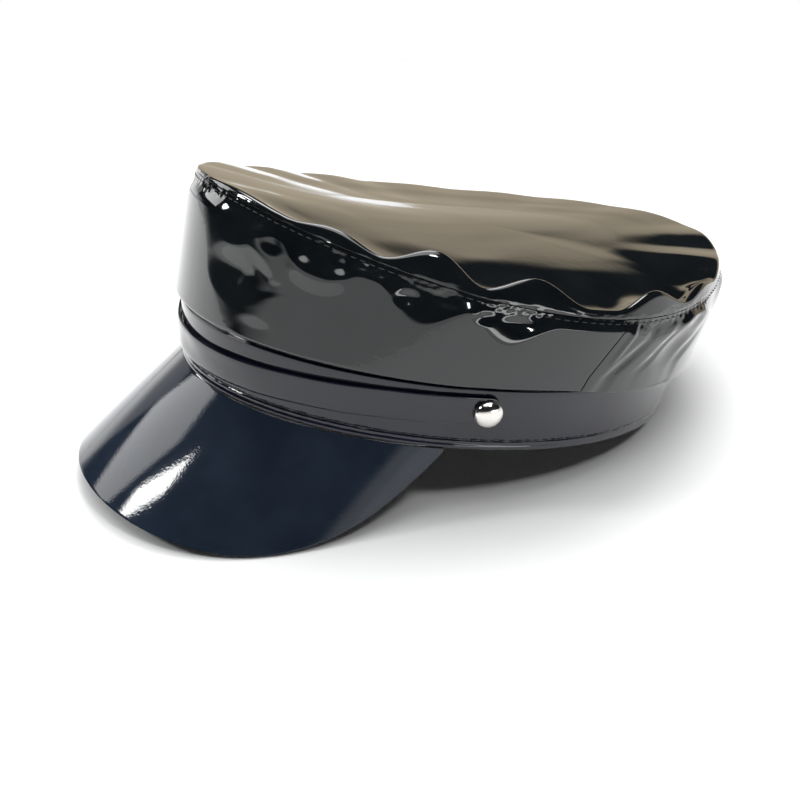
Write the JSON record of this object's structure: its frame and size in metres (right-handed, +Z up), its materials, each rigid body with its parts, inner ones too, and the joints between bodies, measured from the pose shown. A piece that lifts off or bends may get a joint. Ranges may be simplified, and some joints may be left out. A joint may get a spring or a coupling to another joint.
{
  "type": "baker boy cap",
  "caption": "Glossy black faux leather cap with a puffed flat top, a headband, a buttoned strap and a short curved peak, lying on its peak and the back of its band.",
  "frame": {"origin": "on the table under the middle of the cap's box, as the cap lies", "axes": "+Z up from the table, -Y towards the peak, +X towards the wearer's left"},
  "size_m": [0.1758, 0.2744, 0.1094],
  "materials": {
    "crown_leather": "high-gloss patent",
    "band_leather": "high-gloss patent",
    "strap_leather": "high-gloss patent",
    "peak_leather": "high-gloss patent",
    "button_metal": "polished"
  },
  "bodies": {
    "root": {"crown_top": "crown_leather", "crown_side_front": "crown_leather", "crown_side_rear": "crown_leather", "band": "band_leather", "strap": "strap_leather", "button_left": "button_metal", "button_right": "button_metal", "peak": "peak_leather"}
  },
  "joints": []
}
